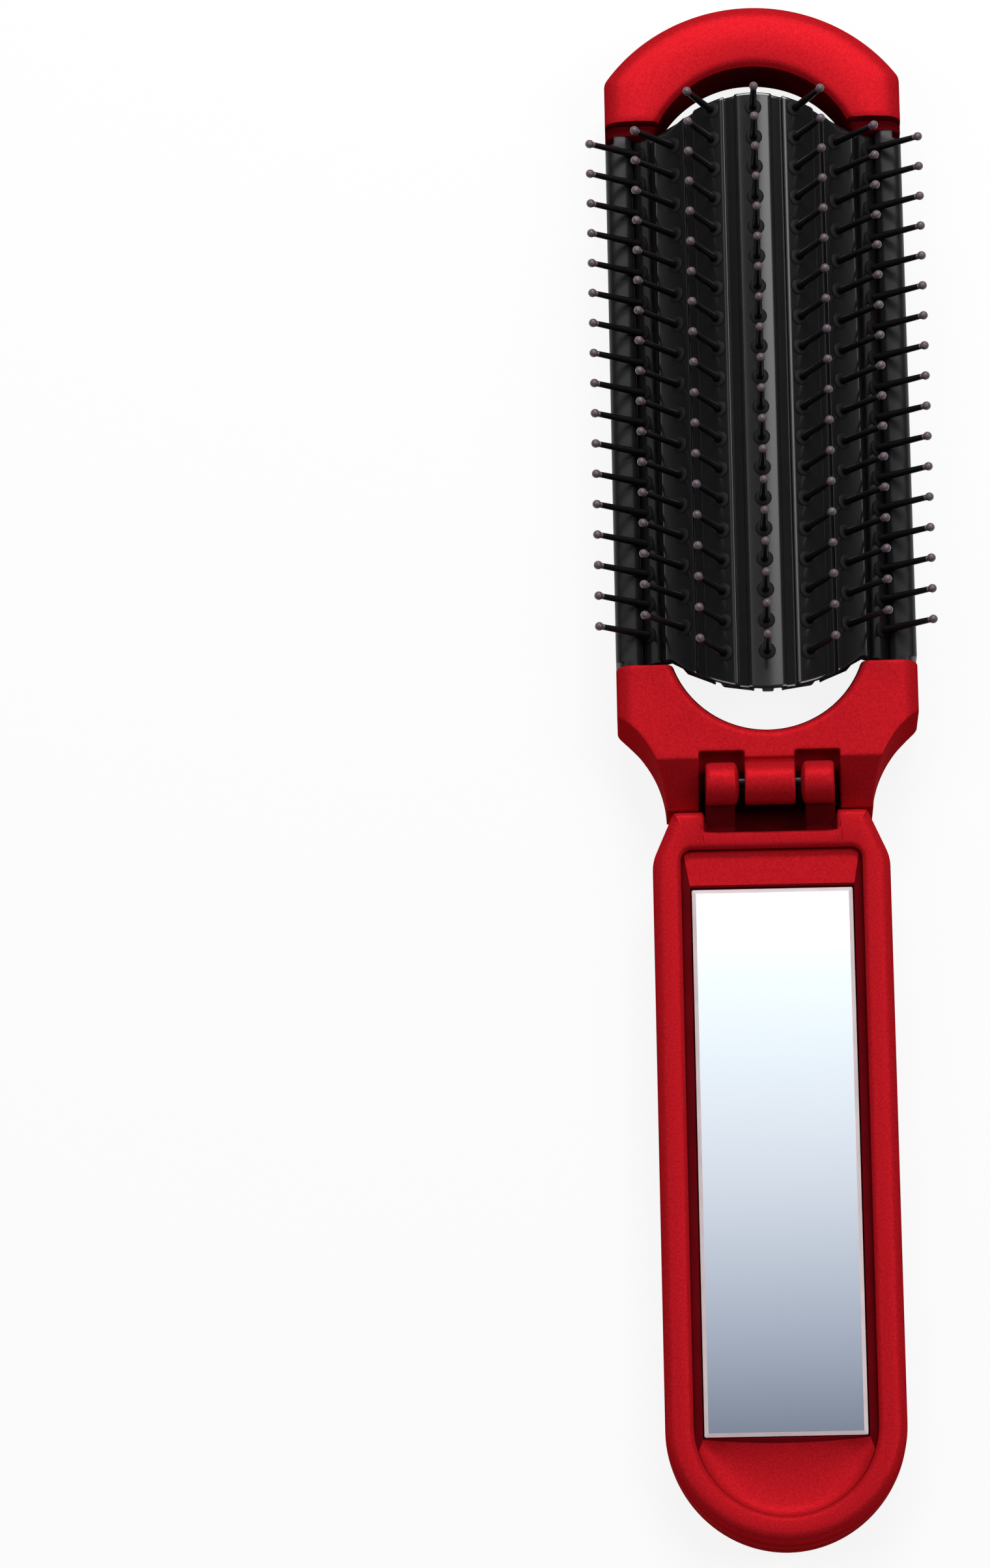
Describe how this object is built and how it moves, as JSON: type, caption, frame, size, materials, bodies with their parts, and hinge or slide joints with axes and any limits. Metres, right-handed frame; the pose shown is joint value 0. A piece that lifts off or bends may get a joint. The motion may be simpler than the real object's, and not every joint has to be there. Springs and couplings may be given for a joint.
{
  "type": "folding hairbrush with mirror",
  "caption": "Folding pocket hairbrush, shown open: an arched bristle pad in a narrow frame and a handle with a mirror that folds back over it.",
  "frame": {"origin": "middle of the open brush's length and width, on the surface it lies on", "axes": "+Y along the brush to the tip of the head, +Z out of the bristle side, +X across"},
  "size_m": [0.0476, 0.2204, 0.0278],
  "materials": {
    "red_shell": "moulded ABS with a satin metallic red lacquer",
    "black_rail": "smooth moulded black ABS",
    "black_pad": "moulded black polypropylene, softly shining",
    "black_pins": "black nylon with ball ends",
    "steel_pin": "drawn steel wire",
    "mirror": "silvered float glass",
    "foam_tape": "white foam tape"
  },
  "bodies": {
    "head": {"top_cap": "red_shell", "hinge_yoke": "red_shell", "left_rail": "black_rail", "right_rail": "black_rail"},
    "handle": {"handle_front": "red_shell", "handle_back": "red_shell", "mirror_glass": "mirror", "mirror_tape": "foam_tape", "hinge_pin": "steel_pin"},
    "row_centre": {"bar_centre": "black_pad", "pins_centre": "black_pins"},
    "row_left_1": {"bar_left_1": "black_pad", "pins_left_1": "black_pins"},
    "row_left_2": {"bar_left_2": "black_pad", "pins_left_2": "black_pins"},
    "row_left_3": {"bar_left_3": "black_pad", "pins_left_3": "black_pins"},
    "row_right_1": {"bar_right_1": "black_pad", "pins_right_1": "black_pins"},
    "row_right_2": {"bar_right_2": "black_pad", "pins_right_2": "black_pins"},
    "row_right_3": {"bar_right_3": "black_pad", "pins_right_3": "black_pins"}
  },
  "joints": [
    {"name": "handle_fold", "type": "hinge", "parent": "head", "child": "handle", "pos_m": [0, -0.0044, 0.01275], "axis": [-1, 0, 0], "range_deg": [0, 180]},
    {"name": "pad_press", "type": "slide", "parent": "head", "child": "row_centre", "axis": [0, 0, -1], "range_m": [0, 0.0166]},
    {"name": "right_row_1_turn", "type": "hinge", "parent": "head", "child": "row_right_1", "pos_m": [0.03415, 0, 0.0092], "axis": [0, -1, 0], "range_deg": [0, 29.75]},
    {"name": "right_row_2_turn", "type": "hinge", "parent": "head", "child": "row_right_2", "pos_m": [0.02041, 0, 0.0092], "axis": [0, -1, 0], "range_deg": [0, 59.5]},
    {"name": "right_row_3_turn", "type": "hinge", "parent": "head", "child": "row_right_3", "pos_m": [0.0173, 0, 0.0092], "axis": [0, -1, 0], "range_deg": [0, 95.88]},
    {"name": "left_row_1_turn", "type": "hinge", "parent": "head", "child": "row_left_1", "pos_m": [-0.03415, 0, 0.0092], "axis": [0, 1, 0], "range_deg": [0, 29.75]},
    {"name": "left_row_2_turn", "type": "hinge", "parent": "head", "child": "row_left_2", "pos_m": [-0.02041, 0, 0.0092], "axis": [0, 1, 0], "range_deg": [0, 59.5]},
    {"name": "left_row_3_turn", "type": "hinge", "parent": "head", "child": "row_left_3", "pos_m": [-0.0173, 0, 0.0092], "axis": [0, 1, 0], "range_deg": [0, 95.88]}
  ],
  "couplings": [
    {"joint": "pad_press", "follows": "handle_fold", "m_per_rad": 0.0052839},
    {"joint": "right_row_1_turn", "follows": "handle_fold", "ratio": 0.16526},
    {"joint": "right_row_2_turn", "follows": "handle_fold", "ratio": 0.33053},
    {"joint": "right_row_3_turn", "follows": "handle_fold", "ratio": 0.53268},
    {"joint": "left_row_1_turn", "follows": "handle_fold", "ratio": 0.16526},
    {"joint": "left_row_2_turn", "follows": "handle_fold", "ratio": 0.33053},
    {"joint": "left_row_3_turn", "follows": "handle_fold", "ratio": 0.53268}
  ]
}
